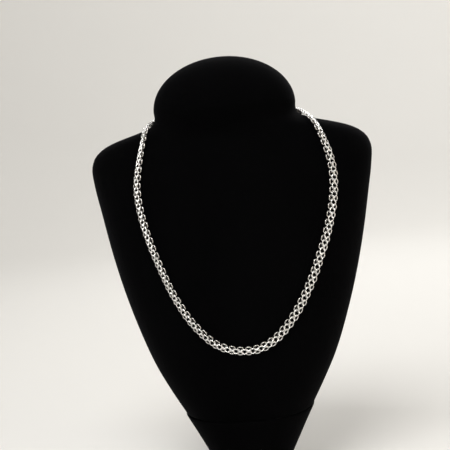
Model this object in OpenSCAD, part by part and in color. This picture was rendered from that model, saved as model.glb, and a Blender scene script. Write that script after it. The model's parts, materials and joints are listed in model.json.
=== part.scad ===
// Three row woven silver chain on a plain neck bust.
// Millimetres. Z is up, the front faces -Y, and the origin is under the middle of the foot.

/* [Bust] */
// Height of the bust from the surface it stands on to the top of its crown
bust_h = 251; // [235:1:270]
// Width across the shoulders
shoulder_w = 172; // [160:1:185]
// Depth from the fullest part of the chest to the back of the neck
bust_d = 88; // [82:1:96]
// Fullness of the level outlines, where 2 is a plain oval
fullness = 2.25; // [2:0.05:2.5]
// Height of the seam between the foot block and the chest
foot_h = 38; // [30:1:45]

/* [Chain] */
// Width of the chain over both outer rows of links
chain_w = 5.65; // [5.6:0.01:5.7]
// Outside diameter of one link
link_d = 4.1; // [4.08:0.01:4.14]
// Diameter of the link wire
wire_d = 0.82; // [0.8:0.01:0.84]
// Wanted distance from one pair of outer links to the next
pitch_wanted = 4.8; // [4.76:0.01:4.84]
// Lean of the outer links towards the loop's middle, in degrees
lean = 28; // [27:0.5:29]
// Angle by which the loop has slipped round the neck, in degrees
loop_turn = 4.5; // [0:0.5:8]

/* [Clasp] */
// Distance between the two end links that the clasp joins
clasp_span = 18; // [17:0.5:20]
// Width of the clasp's flat body
clasp_w = 4.6; // [4:0.1:5]
// Thickness of the clasp's flat body
clasp_t = 2.2; // [2:0.1:2.3]

/* [Hidden] */
STRETCHES = 20;
function two_digits(k) = str(k < 10 ? "0" : "", k);
function stretch_name(k) = str("chain_", two_digits(k));

velvet_black = [0.06, 0.06, 0.07];
silver = [0.86, 0.85, 0.83];

// Columns of a section row: height, half width, and Y of the widest line, the front and the back
HEIGHT = 0;
HALF = 1;
WIDEST = 2;
FRONT = 3;
BACK = 4;

// Chest, shoulders and neck, from the seam over the foot up to the root of the crown
BODY = [
    [38, 39.0, 0, -40, 30],
    [52, 46.7, 0, -45, 29],
    [70, 55.7, 1, -49, 28],
    [90, 63.2, 2, -50.5, 28],
    [115, 71.0, 4, -50, 29],
    [140, 77.2, 6, -47.5, 31],
    [165, 82.2, 8, -42.5, 34],
    [180, 84.9, 8, -38, 35],
    [189, 85.8, 8, -34.5, 36],
    [196, 83.8, 8, -32, 37],
    [201, 78.7, 7, -30, 37.5],
    [204.5, 71.5, 5.5, -29.5, 37],
    [207.5, 61.5, 3.5, -30, 36.5],
    [210.5, 50.5, 1, -31, 36],
    [214, 43.4, -1.5, -32.5, 35],
    [218, 42.2, -2, -34, 34],
    [221, 42.5, -2, -35, 34]
];

// Foot block, which tapers down to the flat face that the bust stands on
FOOT = [
    [0, 20.0, 0, -30, 28],
    [13, 26.8, 0, -34, 29],
    [26, 33.4, 0, -38, 30],
    [38, 39.6, 0, -41, 31]
];

// Sizes that the tables were drawn at, and the scales from them to the wanted bust
DRAWN_H = 251;
DRAWN_W = 172;
DRAWN_D = 88;
DRAWN_FOOT = 38;
to_x = shoulder_w / DRAWN_W;
to_y = bust_d / DRAWN_D;
to_z = (bust_h - foot_h) / (DRAWN_H - DRAWN_FOOT);
seam_gap = 0.3;
crown_h = DRAWN_H - BODY[len(BODY) - 1][HEIGHT];
sides = 64;
body_step = 5;
foot_step = 9;
crown_step = 10;
crown_last = 80;

// Slope of a column at one row, held back so that the curve never swings past a row
function rise(t, c, i) = (t[i + 1][c] - t[i][c]) / (t[i + 1][HEIGHT] - t[i][HEIGHT]);
function slope(t, c, i) =
    i == 0 ? rise(t, c, 0) :
    i == len(t) - 1 ? rise(t, c, i - 1) :
    rise(t, c, i - 1) * rise(t, c, i) <= 0 ? 0 :
    2 * rise(t, c, i - 1) * rise(t, c, i) / (rise(t, c, i - 1) + rise(t, c, i));
function row_below(t, z, i = 0) = i >= len(t) - 2 || z < t[i + 1][HEIGHT] ? i : row_below(t, z, i + 1);

// Value of a column at any height, on a smooth curve through the table's rows
function smooth(t, c, z) =
    let (i = row_below(t, z))
    let (h = t[i + 1][HEIGHT] - t[i][HEIGHT])
    let (u = (z - t[i][HEIGHT]) / h)
    (2 * pow(u, 3) - 3 * pow(u, 2) + 1) * t[i][c]
    + (pow(u, 3) - 2 * pow(u, 2) + u) * h * slope(t, c, i)
    + (3 * pow(u, 2) - 2 * pow(u, 3)) * t[i + 1][c]
    + (pow(u, 3) - pow(u, 2)) * h * slope(t, c, i + 1);
function section(t, z) = [z, for (c = [HALF, WIDEST, FRONT, BACK]) smooth(t, c, z)];

// Point of a section row at an angle round the bust, 0 at the front and 90 on the +X side
function round_off(v) = sign(v) * pow(abs(v), 2 / fullness);
function on_section(r, turn) =
    let (x = r[HALF] * round_off(sin(turn)))
    let (reach = cos(turn) > 0 ? r[FRONT] - r[WIDEST] : r[WIDEST] - r[BACK])
    [x * to_x, (r[WIDEST] + reach * round_off(cos(turn))) * to_y, r[HEIGHT]];

// Heights from the first row of a table to its last, close to one step apart
function heights(t, step) = [
    for (i = [0:len(t) - 2])
        let (n = ceil((t[i + 1][HEIGHT] - t[i][HEIGHT]) / step))
        for (k = [0:n - 1]) t[i][HEIGHT] + k * (t[i + 1][HEIGHT] - t[i][HEIGHT]) / n
];
function top_row(t) = t[len(t) - 1];

// Section row of the crown at an angle up from its root, on a quarter of an oval
function crown_row(up) =
    let (r = top_row(BODY))
    [
        r[HEIGHT] + crown_h * sin(up),
        r[HALF] * cos(up),
        r[WIDEST],
        r[WIDEST] + (r[FRONT] - r[WIDEST]) * cos(up),
        r[WIDEST] + (r[BACK] - r[WIDEST]) * cos(up)
    ];

// Closed skin over a stack of section rows, flat below, and flat or pointed above
module skin(rows, z_of, tip = undef) {
    n = len(rows);
    ring = [
        for (r = rows, k = [0:sides - 1])
            let (p = on_section(r, -k * 360 / sides))
            [p[0], p[1], z_of(p[2])]
    ];
    walls = [
        for (i = [0:n - 2], k = [0:sides - 1])
            let (a = i * sides + k, b = i * sides + (k + 1) % sides)
            each [[a, a + sides, b], [b, a + sides, b + sides]]
    ];
    under = [[for (k = [0:sides - 1]) k]];
    last = (n - 1) * sides;
    over = is_undef(tip)
        ? [[for (k = [0:sides - 1]) last + sides - 1 - k]]
        : [for (k = [0:sides - 1]) [last + k, n * sides, last + (k + 1) % sides]];
    polyhedron(points = concat(ring, is_undef(tip) ? [] : [tip]), faces = concat(under, walls, over));
}

function body_z(z) = foot_h + (z - DRAWN_FOOT) * to_z;
function foot_z(z) = z * (foot_h - seam_gap) / DRAWN_FOOT;

module bust() {
    body_rows = [for (z = heights(BODY, body_step)) section(BODY, z)];
    crown_rows = [for (up = [0:crown_step:crown_last]) crown_row(up)];
    tip = [0, top_row(BODY)[WIDEST] * to_y, bust_h];
    color(velvet_black)
        skin(concat(body_rows, crown_rows), function(z) body_z(z), tip);
}

module bust_foot() {
    foot_rows = [for (z = concat(heights(FOOT, foot_step), [DRAWN_FOOT])) section(FOOT, z)];
    color(velvet_black)
        skin(foot_rows, function(z) foot_z(z));
}

// Route of the chain over the bust, half of the loop from the bottom of the front to the nape.
// Columns: angle round the bust from the front, height as drawn, how far the chain bridges off the skin,
// how much further round the +X half lies, and the roll of the -X and +X halves, which turns the chain's
// face away from the loop's middle
TURN = 0;
LEVEL = 1;
BRIDGE = 2;
SWAY = 3;
ROLL_MINUS_X = 4;
ROLL_PLUS_X = 5;
ROUTE = [
    [0, 82, 0, 0, 17, 17],
    [11.7, 86, 0, 0.4, 20, 6],
    [21.9, 98, 0, 0.6, 17, 0],
    [29.2, 114.5, 0, 0.9, 17, -4],
    [33.7, 131, 0, 1.3, 15, -5],
    [37.2, 147, 0, 1.6, 13, -4],
    [39.4, 163, 0, 1.3, 12, -2],
    [39.3, 177, 0.3, 0.5, 13, 2],
    [37.3, 190, 0.5, -0.3, 16, 8],
    [42.4, 204.4, 0.4, -0.3, 12, 10],
    [62.6, 209.6, 0.5, 0, 10, 10],
    [85, 212.3, 0.7, 0, 6, 6],
    [109, 213.7, 1, 0, 3, 3],
    [133, 214.5, 1.2, 0, 0, 0],
    [157, 214.2, 0.8, 0, 0, 0],
    [180, 213.8, 0.4, 0, 0, 0]
];
half_rows = len(ROUTE) - 1;
loop_rows = 2 * half_rows;
samples_per_row = 10;

link_r = (link_d - wire_d) / 2;
row_offset = chain_w / 2 - wire_d / 2 - link_r * cos(lean);
chain_t = 2 * link_r * sin(lean) + wire_d;
lie_gap = 0.3;
lift = chain_t / 2 + lie_gap;

// Point on the bust's skin, and the direction that points straight out of it there
function skin_point(turn, z) =
    let (p = on_section(section(BODY, z), turn + loop_turn))
    [p[0], p[1], body_z(p[2])];
function unit(a) = a / norm(a);
turn_probe = 1;
level_probe = 0.3;
function skin_out(turn, z) =
    let (round_the_bust = skin_point(turn + turn_probe, z) - skin_point(turn - turn_probe, z))
    let (up_the_bust = skin_point(turn, z + level_probe) - skin_point(turn, z - level_probe))
    unit(cross(round_the_bust, up_the_bust));

// Rows of the whole loop, from the nape round by -X, the front and +X to the nape again.
// Columns: angle round the bust, height as drawn, bridge, and roll
ROLL = 3;
function minus_x_row(r) = [360 - r[TURN], r[LEVEL], r[BRIDGE], r[ROLL_MINUS_X]];
function plus_x_row(r) = [r[TURN] + r[SWAY], r[LEVEL], r[BRIDGE], r[ROLL_PLUS_X]];
loop = [
    for (j = [0:loop_rows - 1])
        j < half_rows ? minus_x_row(ROUTE[half_rows - j]) : plus_x_row(ROUTE[j - half_rows])
];

// A rolled chain stands higher, so that its lower edge still clears the skin. The lean of its links
// takes up a part of the roll
rise_share = 0.8;
edge_reach = rise_share * (chain_w - wire_d) / 2;
function stand_off(r) = lift + r[BRIDGE] + edge_reach * sin(abs(r[ROLL]));
row_out = [for (r = loop) skin_out(r[TURN], r[LEVEL])];
row_roll = [for (r = loop) r[ROLL]];
row_point = [
    for (j = [0:loop_rows - 1])
        skin_point(loop[j][TURN], loop[j][LEVEL]) + stand_off(loop[j]) * row_out[j]
];

// Smooth curve through the loop's rows, at a place counted in rows
function between(a, b, c, d, u) =
    b
    + u * (c - a) / 2
    + pow(u, 2) * (a - 2.5 * b + 2 * c - d / 2)
    + pow(u, 3) * ((d - a) / 2 + 1.5 * (b - c));
function on_loop(list, v) =
    let (j = floor(v), n = loop_rows)
    between(list[(j + n - 1) % n], list[j % n], list[(j + 1) % n], list[(j + 2) % n], v - j);

// Length along the loop, kept as pairs of length and place
stops = [for (k = [0:loop_rows * samples_per_row]) on_loop(row_point, k / samples_per_row)];
steps = [for (k = [1:len(stops) - 1]) norm(stops[k] - stops[k - 1])];
function run_up(a) = [for (i = 0, s = 0; i <= len(a); s = s + (i < len(a) ? a[i] : 0), i = i + 1) s];
lengths = run_up(steps);
loop_len = lengths[len(lengths) - 1];
place_of = [for (k = [0:len(lengths) - 1]) [lengths[k], k / samples_per_row]];
function place(s) = lookup(s < 0 ? s + loop_len : s > loop_len ? s - loop_len : s, place_of);
function at(s) = on_loop(row_point, place(s));

// Frame at a length along the loop: X along the chain, Y across it to the loop's middle, Z out of the bust
module along(s) {
    probe = 1;
    x = unit(at(s + probe) - at(s - probe));
    out = on_loop(row_out, place(s));
    z = unit(out - (out * x) * x);
    y = cross(z, x);
    p = at(s);
    multmatrix([[x[0], y[0], z[0], p[0]], [x[1], y[1], z[1], p[1]], [x[2], y[2], z[2], p[2]], [0, 0, 0, 1]])
        rotate([on_loop(row_roll, place(s)), 0, 0])
            children();
}

module link(wire = wire_d) {
    rotate_extrude($fn = 48)
        translate([link_r, 0])
            circle(d = wire, $fn = 24);
}

units = round((loop_len - clasp_span) / pitch_wanted);
pitch = (loop_len - clasp_span) / units;

// The last centre link of a stretch hooks loosely through the next pair, in finer wire and slid towards it
loose_wire = 0.62;
loose_slip = 0.5;

function first_unit(k) = round((k - 1) * units / STRETCHES);

// Two outer links side by side, leaned the same way
module outer_pair(i) {
    along(clasp_span / 2 + (i + 0.5) * pitch)
        for (side = [-1, 1])
            translate([0, side * row_offset, 0])
                rotate([-lean, 0, 0])
                    link();
}

// One link in the middle row, leaned the other way, between two pairs
module centre_link(i, slip = 0, wire = wire_d) {
    along(clasp_span / 2 + i * pitch + slip)
        rotate([lean, 0, 0])
            link(wire);
}

// Stretch of the chain, joined along its thread
module chain_stretch(k) {
    first = first_unit(k);
    last = first_unit(k + 1) - 1;
    ends_chain = k == STRETCHES;
    color(silver)
        union() {
            for (i = [first:last])
                outer_pair(i);
            if (k == 1)
                centre_link(0);
            for (i = [first + 1:1:last])
                centre_link(i);
            centre_link(last + 1, ends_chain ? 0 : loose_slip, ends_chain ? wire_d : loose_wire);
        }
}

clasp_ring_r = 1;
clasp_wire = 0.7;
clasp_corner = 0.9;
hook_gap = 0.2;
ring_place = clasp_span / 2 - link_r + wire_d / 2 + clasp_wire / 2 + hook_gap - clasp_ring_r;
clasp_l = 2 * (ring_place - clasp_ring_r + clasp_wire / 4);

// Flat plate with round corners
module plate(l, w, t, r) {
    linear_extrude(height = t, center = true)
        union() {
            square([l - 2 * r, w], center = true);
            square([l, w - 2 * r], center = true);
            for (i = [-1, 1], j = [-1, 1])
                translate([i * (l / 2 - r), j * (w / 2 - r)])
                    circle(r = r, $fn = 32);
        }
}

// Plain clasp at the nape: a flat body with a fixed upright ring at each end
module clasp() {
    color(silver)
        union() {
            along(0)
                translate([0, 0, clasp_t / 2 - lift + lie_gap])
                    plate(clasp_l, clasp_w, clasp_t, clasp_corner);
            for (side = [-1, 1])
                along(side * ring_place)
                    rotate([90, 0, 0])
                        rotate_extrude($fn = 48)
                            translate([clasp_ring_r, 0])
                                circle(d = clasp_wire, $fn = 24);
        }
}

bust();
bust_foot();
clasp();
for (k = [1:STRETCHES])
    chain_stretch(k);
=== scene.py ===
# %% [markdown]
# # A three row woven silver chain on a black velvet neck bust
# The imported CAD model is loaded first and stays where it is. Everything made below is a finer
# version of one of its pieces, in the same place, so nothing has to be fitted afterwards.
# %% Load the frame
import bisect
import json
import math

import bpy
from mathutils import Matrix, Vector

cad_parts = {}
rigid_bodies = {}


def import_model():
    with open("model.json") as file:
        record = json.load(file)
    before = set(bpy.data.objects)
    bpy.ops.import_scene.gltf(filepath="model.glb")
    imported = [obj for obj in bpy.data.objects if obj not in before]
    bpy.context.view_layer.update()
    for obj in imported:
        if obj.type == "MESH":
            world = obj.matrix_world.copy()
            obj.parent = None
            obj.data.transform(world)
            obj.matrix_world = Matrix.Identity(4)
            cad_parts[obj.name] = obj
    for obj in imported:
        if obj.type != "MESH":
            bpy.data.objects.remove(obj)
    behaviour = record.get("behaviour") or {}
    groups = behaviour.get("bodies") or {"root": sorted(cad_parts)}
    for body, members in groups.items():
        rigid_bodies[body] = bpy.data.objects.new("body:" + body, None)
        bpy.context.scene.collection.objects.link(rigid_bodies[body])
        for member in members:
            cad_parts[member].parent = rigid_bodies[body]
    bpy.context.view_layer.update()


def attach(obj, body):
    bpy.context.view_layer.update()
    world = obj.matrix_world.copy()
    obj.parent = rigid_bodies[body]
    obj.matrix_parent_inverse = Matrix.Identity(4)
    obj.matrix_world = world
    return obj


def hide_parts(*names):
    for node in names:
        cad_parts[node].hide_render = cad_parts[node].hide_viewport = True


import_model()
MM = 0.001

# %% [markdown]
# ## Starting clean
# An operator works on whatever is selected, and the CAD nodes come in selected. This helper
# leaves one object selected and active, which every step below begins with.
# %% Selection helper
def select_only(*objects):
    """Select these objects and nothing else, the first of them active."""
    bpy.ops.object.select_all(action="DESELECT")
    for obj in objects:
        obj.select_set(True)
    if objects:
        bpy.context.view_layer.objects.active = objects[0]


select_only()
print("selected now:", len(bpy.context.selected_objects))

# %% [markdown]
# ## The camera
# The photograph was taken by hand from just right of the middle, a little above, and with the
# camera rolled, so that the bust leans to the left. A camera could be aimed with a constraint,
# but a roll is easier to state as an angle, so the camera's three axes are worked out here.
# %% Camera
CAMERA_YAW = math.radians(6.5)
CAMERA_RISE = math.radians(5)
CAMERA_ROLL = math.radians(5)
CAMERA_DISTANCE = 650 * MM
CAMERA_AIM = Vector((-6.1, 0, 149.8)) * MM
FRAME_PIXELS = 450
FOCAL_PIXELS = 1066
SENSOR_WIDTH = 36
NEAREST_SEEN = 0.02
FARTHEST_SEEN = 50


def aim_camera():
    """Place the camera on the photograph's line of sight, rolled about it."""
    back = Vector((
        math.sin(CAMERA_YAW) * math.cos(CAMERA_RISE),
        -math.cos(CAMERA_YAW) * math.cos(CAMERA_RISE),
        math.sin(CAMERA_RISE),
    ))
    level = Vector((math.cos(CAMERA_YAW), math.sin(CAMERA_YAW), 0))
    upright = back.cross(level)
    right = level * math.cos(CAMERA_ROLL) - upright * math.sin(CAMERA_ROLL)
    up = upright * math.cos(CAMERA_ROLL) + level * math.sin(CAMERA_ROLL)
    lens = bpy.data.cameras.new("photo_camera")
    lens.sensor_width = SENSOR_WIDTH
    lens.lens = SENSOR_WIDTH * FOCAL_PIXELS / FRAME_PIXELS
    lens.clip_start = NEAREST_SEEN
    lens.clip_end = FARTHEST_SEEN
    camera = bpy.data.objects.new("photo_camera", lens)
    bpy.context.collection.objects.link(camera)
    place = Matrix.Translation(CAMERA_AIM + back * CAMERA_DISTANCE)
    camera.matrix_world = place @ Matrix((right, up, back)).transposed().to_4x4()
    bpy.context.scene.camera = camera
    return camera


camera = aim_camera()
print("lens", round(camera.data.lens, 1), "mm, camera at", [round(v, 3) for v in camera.location])

# %% [markdown]
# ## Sections of the bust
# A velvet bust is a light moulded core with cloth stretched over it. Its level outlines are ovals
# that are a little squarer than an ellipse, deeper in front than behind. The same short table
# as in the CAD source gives them, and a smooth curve runs through its rows.
# %% Section tables, in millimetres
HEIGHT, HALF, WIDEST, FRONT, BACK = range(5)
BODY = [
    (38, 39.0, 0, -40, 30),
    (52, 46.7, 0, -45, 29),
    (70, 55.7, 1, -49, 28),
    (90, 63.2, 2, -50.5, 28),
    (115, 71.0, 4, -50, 29),
    (140, 77.2, 6, -47.5, 31),
    (165, 82.2, 8, -42.5, 34),
    (180, 84.9, 8, -38, 35),
    (189, 85.8, 8, -34.5, 36),
    (196, 83.8, 8, -32, 37),
    (201, 78.7, 7, -30, 37.5),
    (204.5, 71.5, 5.5, -29.5, 37),
    (207.5, 61.5, 3.5, -30, 36.5),
    (210.5, 50.5, 1, -31, 36),
    (214, 43.4, -1.5, -32.5, 35),
    (218, 42.2, -2, -34, 34),
    (221, 42.5, -2, -35, 34),
]
FOOT = [
    (0, 20.0, 0, -30, 28),
    (13, 26.8, 0, -34, 29),
    (26, 33.4, 0, -38, 30),
    (37.7, 39.6, 0, -41, 31),
]
BUST_TOP = 251
print("rows:", len(BODY), "for the bust,", len(FOOT), "for its foot")

# %% [markdown]
# A table gives the outline at a few heights only, and the skin needs it at every height. Straight
# lines between rows would leave creases round the bust, and a free curve could swing out past the
# cloth, so the slope at a row is held back between the slopes on its two sides.
# %% Outline at any height
FULLNESS = 2.25


def rise(rows, column, i):
    """Slope of a column from one row to the next."""
    return (rows[i + 1][column] - rows[i][column]) / (rows[i + 1][HEIGHT] - rows[i][HEIGHT])


def slope(rows, column, i):
    """Slope at a row, held back so that the curve never swings past it."""
    if i == 0:
        return rise(rows, column, 0)
    if i == len(rows) - 1:
        return rise(rows, column, i - 1)
    below, above = rise(rows, column, i - 1), rise(rows, column, i)
    return 0 if below * above <= 0 else 2 * below * above / (below + above)


def section(rows, z):
    """Section row at any height."""
    i = min(max(bisect.bisect_right([r[HEIGHT] for r in rows], z) - 1, 0), len(rows) - 2)
    span = rows[i + 1][HEIGHT] - rows[i][HEIGHT]
    u = (z - rows[i][HEIGHT]) / span
    row = [z]
    for column in (HALF, WIDEST, FRONT, BACK):
        row.append(
            (2 * u**3 - 3 * u**2 + 1) * rows[i][column]
            + (u**3 - 2 * u**2 + u) * span * slope(rows, column, i)
            + (3 * u**2 - 2 * u**3) * rows[i + 1][column]
            + (u**3 - u**2) * span * slope(rows, column, i + 1)
        )
    return row


def round_off(v):
    """Swell a sine or cosine so that an ellipse becomes a slightly squarer oval."""
    return math.copysign(abs(v) ** (2 / FULLNESS), v)


def outline_point(row, turn):
    """Point of a section row at an angle from the front, in radians, +X at a quarter turn."""
    reach = row[FRONT] - row[WIDEST] if math.cos(turn) > 0 else row[WIDEST] - row[BACK]
    return Vector((
        row[HALF] * round_off(math.sin(turn)),
        row[WIDEST] + reach * round_off(math.cos(turn)),
        row[HEIGHT],
    ))


print("widest level outline:", round(2 * max(r[HALF] for r in BODY), 1), "mm across")

# %% [markdown]
# ## Bust and foot block
# The shape could be sculpted, or turned from a cage with a subdivision modifier. Extruding a disc
# upwards once for each level, and then drawing each ring out to its own outline, keeps it true
# to the CAD piece. The cloth's edges roll over at the seam, which is a bevel round each rim.
# %% Build a stack of rings
SIDES = 112
NEAR = 0.01 * MM


def levels(rows, step):
    """Section rows from the first row of a table to its last, close to one step apart."""
    found = []
    for lower, upper in zip(rows, rows[1:]):
        parts = math.ceil((upper[HEIGHT] - lower[HEIGHT]) / step)
        gap = (upper[HEIGHT] - lower[HEIGHT]) / parts
        found += [section(rows, lower[HEIGHT] + k * gap) for k in range(parts)]
    return found + [list(rows[-1])]


def extrude_disc(name, rows):
    """Extrude a disc through these levels, then draw each ring out to its outline."""
    select_only()
    bpy.ops.mesh.primitive_circle_add(
        vertices=SIDES, radius=rows[0][HALF] * MM, fill_type="NGON", location=(0, 0, 0)
    )
    piece = bpy.context.object
    piece.name = name
    bpy.ops.object.mode_set(mode="EDIT")
    bpy.ops.mesh.select_all(action="SELECT")
    bpy.ops.transform.translate(value=(0, 0, rows[0][HEIGHT] * MM))
    for lower, upper in zip(rows, rows[1:]):
        lift = (upper[HEIGHT] - lower[HEIGHT]) * MM
        bpy.ops.mesh.extrude_region_move(TRANSFORM_OT_translate={"value": (0, 0, lift)})
    bpy.ops.object.mode_set(mode="OBJECT")
    heights = [r[HEIGHT] for r in rows]
    for vertex in piece.data.vertices:
        near = bisect.bisect_left(heights, (vertex.co.z - NEAR) / MM)
        row = rows[min(near, len(rows) - 1)]
        vertex.co = outline_point(row, math.atan2(vertex.co.x, -vertex.co.y)) * MM
    return piece


print("rings of", SIDES, "sides")

# %% [markdown]
# The rims are where the cloth turns over an edge. A ring of edges is picked by its height, because
# no one is there to click on it, and a bevel rounds it. Last of all the whole skin is swollen by
# the thickness of the pile, as if the velvet were glued on now.
# %% Rims and pile
NAP = 0.2
ROLL_SEGMENTS = 4
ROUND = 0.5


def select_rim(piece, height):
    """Select the ring of edges that lies at a height."""
    bpy.ops.object.mode_set(mode="EDIT")
    bpy.ops.mesh.select_mode(type="EDGE")
    bpy.ops.mesh.select_all(action="DESELECT")
    bpy.ops.object.mode_set(mode="OBJECT")
    for edge in piece.data.edges:
        ends = [piece.data.vertices[i].co.z for i in edge.vertices]
        edge.select = all(abs(z - height * MM) < NEAR for z in ends)
    bpy.ops.object.mode_set(mode="EDIT")


def roll_rim(piece, height, roll):
    """Round the rim at a height over, as cloth drawn round an edge is."""
    select_rim(piece, height)
    bpy.ops.mesh.bevel(offset=roll * MM, segments=ROLL_SEGMENTS, profile=ROUND)
    bpy.ops.object.mode_set(mode="OBJECT")


def raise_nap():
    """Swell the active piece's skin by the thickness of the velvet's pile."""
    bpy.ops.object.mode_set(mode="EDIT")
    bpy.ops.mesh.select_all(action="SELECT")
    bpy.ops.mesh.normals_make_consistent(inside=False)
    bpy.ops.transform.shrink_fatten(value=NAP * MM)
    bpy.ops.object.mode_set(mode="OBJECT")


print("rims in", ROLL_SEGMENTS, "segments, skin raised by", NAP, "mm")

# %% [markdown]
# The crown is a quarter of an oval in profile, so its levels come from a sine and a cosine. Its
# last ring is merged to one point, because an open hole there would show in the finished mesh.
# %% Bust
LEVEL_STEP = 2.6
CROWN_RINGS = 18
CROWN_LAST = math.radians(86)
CROWN_TIP = 0.4
SEAM_ROLL = 1.1


def crown_row(up):
    """Section row of the crown at an angle up from its root."""
    root = BODY[-1]
    return [
        root[HEIGHT] + (BUST_TOP - root[HEIGHT]) * math.sin(up),
        root[HALF] * math.cos(up),
        root[WIDEST],
        root[WIDEST] + (root[FRONT] - root[WIDEST]) * math.cos(up),
        root[WIDEST] + (root[BACK] - root[WIDEST]) * math.cos(up),
    ]


def make_bust():
    """Chest, shoulders, neck and crown in one skin."""
    rows = levels(BODY, LEVEL_STEP)
    rows += [crown_row(CROWN_LAST * k / CROWN_RINGS) for k in range(1, CROWN_RINGS + 1)]
    middle = BODY[-1][WIDEST]
    tip = [BUST_TOP, CROWN_TIP, middle, middle - CROWN_TIP, middle + CROWN_TIP]
    piece = extrude_disc("bust_velvet", rows + [tip])
    select_rim(piece, BUST_TOP)
    bpy.ops.mesh.merge(type="CENTER")
    bpy.ops.object.mode_set(mode="OBJECT")
    roll_rim(piece, BODY[0][HEIGHT], SEAM_ROLL)
    raise_nap()
    bpy.ops.object.shade_smooth()
    return piece


bust = make_bust()
print("bust:", len(bust.data.polygons), "faces")

# %% [markdown]
# The foot block tapers to the flat face that the bust stands on. Its flat underside has to stay on
# the floor, so what the swelling pushes below the floor is put back.
# %% Foot block
FOOT_STEP = 3.2
BASE_ROLL = 1.5


def make_foot():
    """Foot block with rolled edges at the seam and at the base."""
    piece = extrude_disc("bust_foot_velvet", levels(FOOT, FOOT_STEP))
    roll_rim(piece, FOOT[-1][HEIGHT], SEAM_ROLL)
    roll_rim(piece, 0, BASE_ROLL)
    raise_nap()
    for vertex in piece.data.vertices:
        vertex.co.z = min(max(vertex.co.z, 0), FOOT[-1][HEIGHT] * MM)
    bpy.ops.object.shade_smooth()
    return piece


foot = make_foot()
print("foot:", len(foot.data.polygons), "faces")

# %% [markdown]
# ## The chain's route
# The chain lies on the velvet all the way round, through a few rows placed on the skin. A row says
# how far round the bust it is, how high, how far the chain bridges off the skin, how much further
# round the +X half lies, and how each half is rolled about its own line. The roll is greatest by
# the neck, where the chain bridges the fold and is seen nearly edge on.
# %% Route rows
TURN, LEVEL, BRIDGE, SWAY, ROLL_MINUS_X, ROLL_PLUS_X = range(6)
ROUTE = [
    (0, 82, 0, 0, 17, 17),
    (11.7, 86, 0, 0.4, 20, 6),
    (21.9, 98, 0, 0.6, 17, 0),
    (29.2, 114.5, 0, 0.9, 17, -4),
    (33.7, 131, 0, 1.3, 15, -5),
    (37.2, 147, 0, 1.6, 13, -4),
    (39.4, 163, 0, 1.3, 12, -2),
    (39.3, 177, 0.2, 0.5, 14, 3),
    (37.3, 190, 0.2, -0.3, 24, 17),
    (42.4, 204.4, 0, -0.3, 31, 27),
    (62.6, 209.6, 0.3, 0, 12, 12),
    (85, 212.3, 0.7, 0, 6, 6),
    (109, 213.7, 1, 0, 3, 3),
    (133, 214.5, 1.2, 0, 0, 0),
    (157, 214.2, 0.8, 0, 0, 0),
    (180, 213.8, 0.4, 0, 0, 0),
]
print("route rows from the front to the nape:", len(ROUTE))

# %% [markdown]
# Each row becomes a point in space and a direction out of the skin. The direction comes from two
# short steps on the skin, one round and one up, and the chain's middle is lifted along it, further
# where the chain is rolled, so that its lower edge stays clear. The loop starts at the nape, comes
# down the -X half and goes up the +X half.
# %% Rows in space
FULL_TURN = 360
LOOP_TURN = 4.5
LIFT = 1.48
ROLL_LIFT = 1.932
TURN_PROBE = 1
LEVEL_PROBE = 0.3


def skin_point(turn, z):
    """Point on the bust's skin, the turn in degrees."""
    return outline_point(section(BODY, z), math.radians(turn + LOOP_TURN))


def skin_out(turn, z):
    """Direction straight out of the skin."""
    around = skin_point(turn + TURN_PROBE, z) - skin_point(turn - TURN_PROBE, z)
    upward = skin_point(turn, z + LEVEL_PROBE) - skin_point(turn, z - LEVEL_PROBE)
    return around.cross(upward).normalized()


minus_x_rows = [
    (FULL_TURN - r[TURN], r[LEVEL], r[BRIDGE], r[ROLL_MINUS_X]) for r in reversed(ROUTE[1:])
]
plus_x_rows = [(r[TURN] + r[SWAY], r[LEVEL], r[BRIDGE], r[ROLL_PLUS_X]) for r in ROUTE[:-1]]
loop_rows = minus_x_rows + plus_x_rows
row_out = [skin_out(turn, z) for turn, z, *_ in loop_rows]
row_roll = [math.radians(roll) for *_, roll in loop_rows]
row_point = [
    skin_point(turn, z) + (LIFT + bridge + ROLL_LIFT * abs(math.sin(math.radians(roll)))) * out
    for (turn, z, bridge, roll), out in zip(loop_rows, row_out)
]
print("rows round the whole loop:", len(row_point))

# %% [markdown]
# A Bezier curve could join the rows, but the links have to be spaced evenly, so the length up to
# any place is needed. A short formula gives the smooth curve here, and its length is summed over
# small steps.
# %% Curve through the rows
SAMPLES_PER_ROW = 10


def on_loop(points, place):
    """Smooth curve through a ring of points, at a place counted in rows."""
    j = math.floor(place)
    u = place - j
    a, b, c, d = (points[(j + k) % len(points)] for k in (-1, 0, 1, 2))
    bend = a - 2.5 * b + 2 * c - d / 2
    return b + u * (c - a) / 2 + u**2 * bend + u**3 * ((d - a) / 2 + 1.5 * (b - c))


def run_lengths():
    """Length from the nape up to each sample of the curve."""
    count = len(row_point) * SAMPLES_PER_ROW
    stops = [on_loop(row_point, k / SAMPLES_PER_ROW) for k in range(count + 1)]
    lengths = [0.0]
    for here, there in zip(stops, stops[1:]):
        lengths.append(lengths[-1] + (there - here).length)
    return lengths


lengths = run_lengths()
loop_length = lengths[-1]
print("loop:", round(loop_length, 1), "mm")

# %% [markdown]
# A frame rides along the curve: X runs with the chain and Z points out of the bust. It could come
# from a curve object's own twist, but a curve's twist drifts. Taking Z from the skin's normal at
# every place keeps the chain on the velvet, and the roll is added to that.
# %% Frame along the chain
FRAME_PROBE = 1


def place_at(s):
    """Place in rows for a length along the loop."""
    s %= loop_length
    k = min(bisect.bisect_right(lengths, s) - 1, len(lengths) - 2)
    return (k + (s - lengths[k]) / (lengths[k + 1] - lengths[k])) / SAMPLES_PER_ROW


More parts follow.
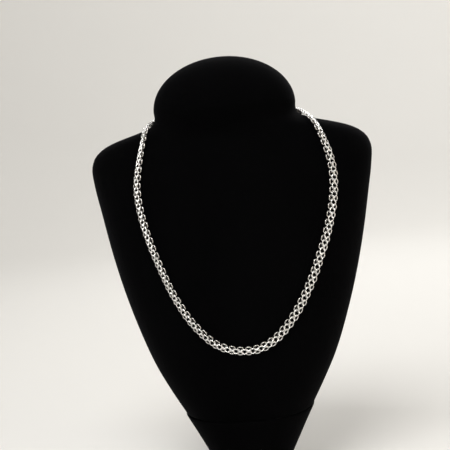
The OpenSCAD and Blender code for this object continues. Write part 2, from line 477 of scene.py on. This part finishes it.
def along(s):
    """Frame at a length along the loop, as a matrix in metres."""
    ahead = on_loop(row_point, place_at(s + FRAME_PROBE))
    behind = on_loop(row_point, place_at(s - FRAME_PROBE))
    x = (ahead - behind).normalized()
    out = on_loop(row_out, place_at(s))
    z = (out - out.dot(x) * x).normalized()
    turned = Matrix((x, z.cross(x), z)).transposed().to_4x4()
    rolled = Matrix.Rotation(on_loop(row_roll, place_at(s)), 4, "X")
    return Matrix.Translation(on_loop(row_point, place_at(s)) * MM) @ turned @ rolled


print("nape at", [round(v, 4) for v in along(0).translation], "metres")

# %% [markdown]
# ## One link, three ways
# The weave has pairs of links side by side and a single link between pairs. Each is an oval of
# round wire. A torus stretched to an oval would flatten its wire at the ends, so a curve is drawn
# instead and the wire is its bevel. The outer links lean a little, are longest where they meet and
# shorter at the chain's edge, and their ends sag under the centre link. That one is bent too: its
# sides ride on top and its ends dive through the pair and under it. The paths leave room for a
# round wire. A light mesh shaves the curves, so where two links hook, edges still cross a little.
# %% Link sizes, in millimetres
WIRE = 0.67
OUTER_HALF_LENGTH = 1.68
OUTER_TAPER = 0.2
OUTER_HALF_WIDTH = 1.02
OUTER_LEAN = 0.13
OUTER_ASIDE = 1.42
OUTER_RIDGE = 0.33
OUTER_SAG = 0.56
CENTRE_HALF_LENGTH = 1.97
CENTRE_HALF_WIDTH = 1.53
CENTRE_TOP = 0.49
CENTRE_DIP = 1.25
DIP_SHARPNESS = 2.25
CENTRE_LEAN = 0.09
LINK_FULLNESS = 0.77


def swell(v):
    """Sine or cosine for a link's outline, a little fuller than an ellipse."""
    return math.copysign(abs(v) ** LINK_FULLNESS, v)


def outer_path(side):
    """Path of an outer link, on the side given as -1 or 1."""
    def path(angle):
        share = swell(math.cos(angle))
        inward = swell(math.sin(angle))
        across = OUTER_HALF_WIDTH * inward
        return Vector((
            (OUTER_HALF_LENGTH + OUTER_TAPER * inward) * share,
            side * (OUTER_ASIDE - across * math.cos(OUTER_LEAN)),
            side * across * math.sin(OUTER_LEAN) + OUTER_RIDGE * inward - OUTER_SAG * share**2,
        ))
    return path


def centre_path(angle):
    """Path of a centre link, whose ends dip."""
    share = swell(math.cos(angle))
    across = CENTRE_HALF_WIDTH * swell(math.sin(angle))
    rise = CENTRE_TOP - CENTRE_DIP * abs(share) ** DIP_SHARPNESS
    return Vector((
        CENTRE_HALF_LENGTH * share,
        across * math.cos(CENTRE_LEAN),
        rise + across * math.sin(CENTRE_LEAN),
    ))


print("chain about", round(2 * (OUTER_ASIDE + OUTER_HALF_WIDTH) + WIRE, 2), "mm wide")

# %% [markdown]
# A Bezier circle has four points. Subdividing it gives eight, enough to follow the bent oval, and
# two steps between points with a six sided wire make a link of 96 faces. Smooth shading rounds
# that off, and hundreds of links stay light.
# %% Draw a link and turn it into a mesh
STEPS_BETWEEN_POINTS = 2
WIRE_ROUNDNESS = 1
DOUBLE = 0.001 * MM


def draw_link(name, path):
    """Closed wire link along a path, as a mesh in the chain's own frame."""
    select_only()
    bpy.ops.curve.primitive_bezier_circle_add(radius=OUTER_HALF_LENGTH * MM, location=(0, 0, 0))
    drawn = bpy.context.object
    drawn.name = name
    bpy.ops.object.mode_set(mode="EDIT")
    bpy.ops.curve.select_all(action="SELECT")
    bpy.ops.curve.subdivide(number_cuts=1)
    bpy.ops.curve.handle_type_set(type="AUTOMATIC")
    bpy.ops.object.mode_set(mode="OBJECT")
    points = drawn.data.splines[0].bezier_points
    for k, point in enumerate(points):
        point.co = path(2 * math.pi * k / len(points)) * MM
    drawn.data.dimensions = "3D"
    drawn.data.resolution_u = STEPS_BETWEEN_POINTS
    drawn.data.bevel_depth = WIRE / 2 * MM
    drawn.data.bevel_resolution = WIRE_ROUNDNESS
    bpy.ops.object.convert(target="MESH")
    bpy.ops.object.mode_set(mode="EDIT")
    bpy.ops.mesh.select_all(action="SELECT")
    bpy.ops.mesh.remove_doubles(threshold=DOUBLE)
    bpy.ops.mesh.normals_make_consistent(inside=False)
    bpy.ops.object.mode_set(mode="OBJECT")
    bpy.ops.object.shade_smooth()
    return bpy.context.object


link_left = draw_link("link_left", outer_path(1))
link_right = draw_link("link_right", outer_path(-1))
link_centre = draw_link("link_centre", centre_path)
templates = [link_left, link_right, link_centre]
print("faces in a link:", [len(t.data.polygons) for t in templates])

# %% [markdown]
# ## Painted shade in the recesses
# The silver is painted darker deep in the weave, as painted shade. Each point of a link keeps how
# deep it lies in the weave, as an attribute that the material reads, so the painted shade is fixed
# on the metal and stays put from any side.
# %% Mark how deep each point lies
WEAVE_FLOOR = -1.1
WEAVE_TOP = 0.98


def mark_depth(obj):
    """Store 0 at the top of the weave and 1 at its underside on every point."""
    depth = obj.data.attributes.new("depth", "FLOAT", "POINT")
    for vertex, value in zip(obj.data.vertices, depth.data):
        share = (WEAVE_TOP - vertex.co.z / MM) / (WEAVE_TOP - WEAVE_FLOOR)
        value.value = min(max(share, 0), 1)


# the depth drives the painted shade of the silver
for template in templates:
    mark_depth(template)
print("depth runs over", round(WEAVE_TOP - WEAVE_FLOOR, 2), "mm of weave")

# %% [markdown]
# ## Weaving the chain
# The links could be set out with an array and a curve modifier, but that modifier rolls with the
# curve's own twist, which drifts. So every point of a link's copy goes into the frame at its own
# length along the loop. That turns each link into place and bends it a little with the chain, so
# that the weave isn't pinched where the chain turns. Each stretch is joined into one piece, in the
# same place as the CAD stretch.
# %% Set out the links
STRETCHES = 20
CLASP_SPAN = 18
PITCH_WANTED = 4.8
units = round((loop_length - CLASP_SPAN) / PITCH_WANTED)
pitch = (loop_length - CLASP_SPAN) / units


def first_unit(k):
    """Number of the first pair in a stretch, a half rounded up as in the CAD source."""
    return math.floor((k - 1) * units / STRETCHES + 0.5)


def place_copy(template, s):
    """Copy of a link with its own mesh, at a length along the loop."""
    copy = template.copy()
    copy.data = template.data.copy()
    for vertex in copy.data.vertices:
        x, y, z = vertex.co
        vertex.co = along(s + x / MM) @ Vector((0, y, z))
    bpy.context.collection.objects.link(copy)
    return copy


def make_stretch(k):
    """Stretch of the chain: its pairs, and the centre links after each of them."""
    pairs = range(first_unit(k), first_unit(k + 1))
    centres = ([0] if k == 1 else []) + [i + 1 for i in pairs]
    links = [
        place_copy(template, CLASP_SPAN / 2 + (i + 0.5) * pitch)
        for i in pairs
        for template in (link_left, link_right)
    ]
    links += [place_copy(link_centre, CLASP_SPAN / 2 + i * pitch) for i in centres]
    select_only(*links)
    bpy.ops.object.join()
    piece = bpy.context.object
    bpy.ops.object.transform_apply(location=True, rotation=True, scale=True)
    piece.name = "links_%02d" % k
    return piece


stretches = [make_stretch(k) for k in range(1, STRETCHES + 1)]
for template in templates:
    bpy.data.objects.remove(template)
print(units, "repeats of", round(pitch, 3), "mm in", len(stretches), "stretches,",
      sum(len(s.data.polygons) for s in stretches), "faces")

# %% [markdown]
# ## The clasp
# Nothing of the clasp shows from the front, so it is one plain piece at the nape: a flat body with
# rounded edges and a fixed upright ring at each end. Only some edges of the body are rounded at a
# time, so this helper bevels those that a small test picks by the places of their ends.
# %% Bevel the edges that a test picks
def bevel_edges(piece, wanted, offset, segments):
    """Bevel the edges for which wanted(first end, second end) is true."""
    bpy.ops.object.mode_set(mode="EDIT")
    bpy.ops.mesh.select_mode(type="EDGE")
    bpy.ops.mesh.select_all(action="DESELECT")
    bpy.ops.object.mode_set(mode="OBJECT")
    for edge in piece.data.edges:
        ends = [piece.data.vertices[i].co for i in edge.vertices]
        edge.select = wanted(*ends)
    bpy.ops.object.mode_set(mode="EDIT")
    bpy.ops.mesh.bevel(offset=offset * MM, segments=segments, profile=ROUND)
    bpy.ops.object.mode_set(mode="OBJECT")


# %% [markdown]
# The body could be cut from a plate, but a box is quicker. Its edges are bevelled twice, first the
# upright corners and then every rim, and its outer face is inset and raised to a shallow panel.
# %% Clasp body
CLASP_WIDTH = 4.6
CLASP_THICK = 2.2
CLASP_UNDERSIDE = -1.18
CLASP_CORNER = 1.1
CORNER_SEGMENTS = 4
CLASP_RIM = 0.3
RIM_SEGMENTS = 3
CLASP_PANEL = 0.35
CLASP_PANEL_RISE = 0.12
PANEL_SEGMENTS = 2
RING_RADIUS = 1.0
RING_WIRE = 0.7
RING_PLACE = 7.32
CLASP_LENGTH = 2 * (RING_PLACE - RING_RADIUS + RING_WIRE / 4)


def make_clasp_body():
    """Flat body of the clasp, level at the origin."""
    select_only()
    bpy.ops.mesh.primitive_cube_add(size=1, location=(0, 0, 0))
    piece = bpy.context.object
    thick = CLASP_THICK - CLASP_PANEL_RISE
    piece.scale = Vector((CLASP_LENGTH, CLASP_WIDTH, thick)) * MM
    bpy.ops.object.transform_apply(location=True, rotation=True, scale=True)
    bevel_edges(piece, lambda a, b: abs(a.z - b.z) > NEAR, CLASP_CORNER, CORNER_SEGMENTS)
    half = thick / 2 * MM
    bevel_edges(
        piece,
        lambda a, b: abs(a.z - b.z) < NEAR and abs(abs(a.z) - half) < NEAR,
        CLASP_RIM,
        RIM_SEGMENTS,
    )
    bpy.ops.object.mode_set(mode="EDIT")
    bpy.ops.mesh.select_mode(type="FACE")
    bpy.ops.mesh.select_all(action="DESELECT")
    bpy.ops.object.mode_set(mode="OBJECT")
    for face in piece.data.polygons:
        face.select = face.center.z > half - NEAR
    bpy.ops.object.mode_set(mode="EDIT")
    bpy.ops.mesh.inset(thickness=CLASP_PANEL * MM, depth=0)
    bpy.ops.mesh.extrude_region_shrink_fatten(
        TRANSFORM_OT_shrink_fatten={"value": CLASP_PANEL_RISE * MM}
    )
    bpy.ops.mesh.bevel(
        offset=CLASP_PANEL_RISE / 2 * MM, segments=PANEL_SEGMENTS, profile=ROUND
    )
    bpy.ops.object.mode_set(mode="OBJECT")
    return piece


print("clasp body:", round(CLASP_LENGTH, 2), "by", CLASP_WIDTH, "by", CLASP_THICK, "mm")

# %% [markdown]
# On a real clasp the end rings are soldered on, and the chain's last links go through them. A
# torus is such a ring. It is stood upright in the chain's frame at each end and joined to the body,
# and only edges sharper than a limit stay crisp in the shading. The last links fit the rings
# tightly, and run a little into their wire.
# %% Clasp with its rings
RING_SIDES = 28
RING_WIRE_SIDES = 12
CREASE = math.radians(35)


def make_clasp():
    """Clasp body and its two end rings, joined and set at the nape."""
    body = make_clasp_body()
    body.matrix_world = along(0) @ Matrix.Translation(
        (0, 0, (CLASP_UNDERSIDE + (CLASP_THICK - CLASP_PANEL_RISE) / 2) * MM)
    )
    parts = [body]
    for side in (-1, 1):
        select_only()
        bpy.ops.mesh.primitive_torus_add(
            major_radius=RING_RADIUS * MM,
            minor_radius=RING_WIRE / 2 * MM,
            major_segments=RING_SIDES,
            minor_segments=RING_WIRE_SIDES,
        )
        ring = bpy.context.object
        ring.matrix_world = along(side * RING_PLACE) @ Matrix.Rotation(math.pi / 2, 4, "X")
        parts.append(ring)
    select_only(*parts)
    bpy.ops.object.join()
    bpy.ops.object.transform_apply(location=True, rotation=True, scale=True)
    bpy.ops.object.shade_smooth_by_angle(angle=CREASE)
    piece = bpy.context.object
    piece.name = "clasp_silver"
    return piece


clasp = make_clasp()
print("clasp:", len(clasp.data.polygons), "faces")

# %% [markdown]
# ## Node helpers
# A material is a small network. These helpers add a node, wire its inputs and set plain values, so
# that each material below reads as a list of what feeds what. A value that is the same all over a
# surface is set on the shader itself, and only what varies comes from nodes. The Mix node has
# sockets for every kind of value under the same names, so its colour sockets are picked by number.
# %% Node helpers
MIX_LOW = 6
MIX_HIGH = 7
MIX_RESULT = 2


def new_material(name):
    """Material with an empty network, its surface shader and its links."""
    material = bpy.data.materials.new(name)
    material.use_nodes = True
    tree = material.node_tree
    return material, tree, tree.nodes["Principled BSDF"]


def add_node(tree, kind, settings=None, **inputs):
    """Add a node, set its properties, and set or wire its inputs."""
    node = tree.nodes.new(kind)
    for key, value in (settings or {}).items():
        setattr(node, key, value)
    for key, value in inputs.items():
        socket = node.inputs[key.replace("_", " ")]
        if isinstance(value, bpy.types.NodeSocket):
            tree.links.new(value, socket)
        else:
            socket.default_value = value
    return node


def set_values(node, values):
    """Set plain values on a node's inputs, by the names of the inputs."""
    for key, value in values.items():
        node.inputs[key].default_value = value


def mix_tones(tree, shader, low, high, factor):
    """Feed the shader's colour from two tones mixed by a factor."""
    tone = add_node(tree, "ShaderNodeMix", {"data_type": "RGBA"})
    tone.inputs[MIX_LOW].default_value = low
    tone.inputs[MIX_HIGH].default_value = high
    tree.links.new(factor, tone.inputs["Factor"])
    tree.links.new(tone.outputs[MIX_RESULT], shader.inputs["Base Color"])


print("materials before ours:", len(bpy.data.materials))

# %% [markdown]
# ## Black velvet
# Velvet is a forest of short upright fibres. Looked at straight on it swallows light, and at a
# grazing angle the fibre tips glow a little. A sheen lobe gives that glow, a very dark colour
# varies where the pile is brushed one way or the other, and fine noise gives the pile its grain.
# %% Velvet material
PILE_DEEP = (0.0004, 0.0004, 0.0005, 1)
PILE_BRUSHED = (0.003, 0.003, 0.0033, 1)
BRUSH_DOWN = (1, 1, 0.35)
BRUSH_NOISE = {"Scale": 22, "Detail": 3.0}
PILE_NOISE = {"Scale": 1900, "Detail": 2.0}
CLOTH_NOISE = {"Scale": 260, "Detail": 3.0}
VELVET_SHEEN = {
    "Roughness": 1,
    "Specular IOR Level": 0.02,
    "Sheen Weight": 0.014,
    "Sheen Roughness": 0.35,
    "Sheen Tint": (0.85, 0.87, 1, 1),
}
FIBRE_BUMP = {"Strength": 0.5, "Distance": 0.0003}
CLOTH_BUMP = {"Strength": 0.25, "Distance": 0.0006}


def make_velvet():
    """Short black velvet on object coordinates."""
    material, tree, shader = new_material("black_velvet")
    coords = add_node(tree, "ShaderNodeTexCoord").outputs["Object"]
    mapping = add_node(tree, "ShaderNodeMapping", Vector=coords, Scale=BRUSH_DOWN)
    downward = mapping.outputs["Vector"]
    brushed = add_node(tree, "ShaderNodeTexNoise", Vector=downward, **BRUSH_NOISE)
    pile = add_node(tree, "ShaderNodeTexNoise", Vector=downward, **PILE_NOISE)
    cloth = add_node(tree, "ShaderNodeTexNoise", Vector=coords, **CLOTH_NOISE)
    grain = add_node(tree, "ShaderNodeMath", {"operation": "MULTIPLY"})
    tree.links.new(brushed.outputs["Fac"], grain.inputs[0])
    tree.links.new(pile.outputs["Fac"], grain.inputs[1])
    mix_tones(tree, shader, PILE_DEEP, PILE_BRUSHED, grain.outputs["Value"])
    set_values(shader, VELVET_SHEEN)
    fibres = add_node(tree, "ShaderNodeBump", Height=pile.outputs["Fac"], **FIBRE_BUMP)
    folds = add_node(
        tree, "ShaderNodeBump", Height=cloth.outputs["Fac"], Normal=fibres.outputs["Normal"],
        **CLOTH_BUMP,
    )
    tree.links.new(folds.outputs["Normal"], shader.inputs["Normal"])
    return material


velvet = make_velvet()
print("velvet:", len(velvet.node_tree.nodes), "nodes")

# %% [markdown]
# ## Polished silver
# The silver keeps its bright tone on top and is painted warmer and darker in the hollows, which is
# painted shade. The depth attribute mixes the two tones, a soft noise shifts the polish from link
# to link, and a fine noise raises hairline marks. A picture would do it too, but it would have to
# be wrapped round every link.
# %% Silver material
SILVER_BRIGHT = (0.94, 0.93, 0.91, 1)
# painted shade: the warm dark tone that the silver takes deep in the weave
SILVER_PAINTED_SHADE = (0.3, 0.27, 0.235, 1)
PAINTED_SHADE_RANGE = {"From Min": 0.35, "From Max": 1.0}
POLISH_NOISE = {"Scale": 320, "Detail": 2.0}
POLISH_RANGE = {"From Min": 0.3, "From Max": 0.7, "To Min": 0.18, "To Max": 0.34}
SCRATCH_NOISE = {"Scale": 4200, "Detail": 3.0}
SCRATCH_BUMP = {"Strength": 0.12, "Distance": 0.00005}


def make_silver():
    """Polished silver with painted shade in the recesses."""
    material, tree, shader = new_material("polished_silver")
    coords = add_node(tree, "ShaderNodeTexCoord").outputs["Object"]
    depth = add_node(tree, "ShaderNodeAttribute", {"attribute_name": "depth"})
    # painted shade: the depth sets how far the silver is darkened
    painted_shade = add_node(tree, "ShaderNodeMapRange", Value=depth.outputs["Fac"])
    set_values(painted_shade, PAINTED_SHADE_RANGE)
    mix_tones(tree, shader, SILVER_BRIGHT, SILVER_PAINTED_SHADE, painted_shade.outputs["Result"])
    polish = add_node(tree, "ShaderNodeTexNoise", Vector=coords, **POLISH_NOISE)
    gloss = add_node(tree, "ShaderNodeMapRange", Value=polish.outputs["Fac"])
    set_values(gloss, POLISH_RANGE)
    tree.links.new(gloss.outputs["Result"], shader.inputs["Roughness"])
    set_values(shader, {"Metallic": 1})
    scratch = add_node(tree, "ShaderNodeTexNoise", Vector=coords, **SCRATCH_NOISE)
    marks = add_node(tree, "ShaderNodeBump", Height=scratch.outputs["Fac"], **SCRATCH_BUMP)
    tree.links.new(marks.outputs["Normal"], shader.inputs["Normal"])
    return material


silver = make_silver()
print("silver:", len(silver.node_tree.nodes), "nodes")

# %% [markdown]
# ## Dress the pieces and let them stand for the CAD nodes
# Each piece takes its material, rides on the one body of this part, and hides the CAD node that it
# stands for.
# %% Materials and bodies
def finish_piece(piece, material, node):
    """Dress a piece and let it stand for a CAD node."""
    piece.data.materials.clear()
    piece.data.materials.append(material)
    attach(piece, "root")
    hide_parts(node)


finish_piece(bust, velvet, "bust")
finish_piece(foot, velvet, "bust_foot")
finish_piece(clasp, silver, "clasp")
for number, stretch in enumerate(stretches, 1):
    finish_piece(stretch, silver, "chain_%02d" % number)
print("pieces dressed:", len([bust, foot, clasp] + stretches))

# %% [markdown]
# ## Floor
# The stage is a pale disc whose rim curves up all round, like the paper sweep in a studio, so that
# no horizon line crosses the picture. A plane would end in view, so this is a disc whose edge is
# extruded up and outwards in small steps.
# %% Floor with a swept rim
FLOOR_FLAT = 1.3
FLOOR_SIDES = 96
SWEEP_STEPS = 12
SWEEP_RADIUS = 0.9
WALL_TOP = 2.2
PAPER = {"Base Color": (0.71, 0.695, 0.665, 1), "Roughness": 0.9}


def lift_edge(by):
    """Extrude the selected edge of the floor straight up, by a height in metres."""
    bpy.ops.mesh.extrude_region_move(TRANSFORM_OT_translate={"value": (0, 0, by)})


def make_floor():
    """Round floor with a wall swept up from it."""
    select_only()
    bpy.ops.mesh.primitive_circle_add(
        vertices=FLOOR_SIDES, radius=FLOOR_FLAT, fill_type="NGON", location=(0, 0, 0)
    )
    floor = bpy.context.object
    floor.name = "floor"
    bpy.ops.object.mode_set(mode="EDIT")
    bpy.ops.mesh.select_all(action="SELECT")
    bpy.ops.mesh.select_mode(type="EDGE")
    bpy.ops.mesh.region_to_loop()
    radius, height = FLOOR_FLAT, 0.0
    for k in range(1, SWEEP_STEPS + 1):
        angle = math.pi / 2 * k / SWEEP_STEPS
        next_radius = FLOOR_FLAT + SWEEP_RADIUS * math.sin(angle)
        next_height = SWEEP_RADIUS * (1 - math.cos(angle))
        lift_edge(next_height - height)
        bpy.ops.transform.resize(value=(next_radius / radius, next_radius / radius, 1))
        radius, height = next_radius, next_height
    lift_edge(WALL_TOP - height)
    bpy.ops.object.mode_set(mode="OBJECT")
    bpy.ops.object.shade_smooth()
    material, _, shader = new_material("pale_paper")
    set_values(shader, PAPER)
    floor.data.materials.append(material)
    return floor


floor = make_floor()
print("floor:", len(floor.data.polygons), "faces")

# %% [markdown]
# ## Light
# Small wires need wide lights, so that each shows a soft white stripe, and a dim room around them,
# so that the rest of the wire stays darker than its stripe. A big light hangs above and to the
# left, a warm one fills from the right, one stands behind for the rims, and one brightens the
# paper. Places are in metres, sizes are the sides of the squares, and powers are in watts.
# %% Lights and sky
DAYLIGHT = (1.0, 1.0, 1.0)
LAMPLIGHT = (1.0, 0.9, 0.76)
PAPER_AIM = (0.4, 2.2, 0.8)
LIGHTS = [
    ("key_light", (-0.15, -0.55, 0.95), CAMERA_AIM, 0.6, 9, DAYLIGHT),
    ("fill_light", (0.9, -0.6, 0.4), CAMERA_AIM, 0.5, 2.4, LAMPLIGHT),
    ("back_light", (0.2, 0.9, 1.0), CAMERA_AIM, 0.6, 5, DAYLIGHT),
    ("paper_light", (0.5, 0.9, 2.0), PAPER_AIM, 0.8, 28, DAYLIGHT),
]
SKY = {"Color": (1.0, 0.985, 0.95, 1), "Strength": 0.17}


def soft_light(name, place, target, size, power, tone):
    """Wide square light at a place, facing a target, both in metres."""
    lamp = bpy.data.lights.new(name, "AREA")
    lamp.size = size
    lamp.energy = power
    lamp.color = tone
    obj = bpy.data.objects.new(name, lamp)
    obj.location = place
    toward = Vector(target) - Vector(place)
    obj.rotation_euler = toward.to_track_quat("-Z", "Y").to_euler()
    bpy.context.collection.objects.link(obj)


for row in LIGHTS:
    soft_light(*row)
sky = bpy.data.worlds.new("sky")
sky.use_nodes = True
set_values(sky.node_tree.nodes["Background"], SKY)
bpy.context.scene.world = sky
bpy.context.scene.view_settings.view_transform = "Standard"
print("lights:", len(LIGHTS), "and a dim sky")
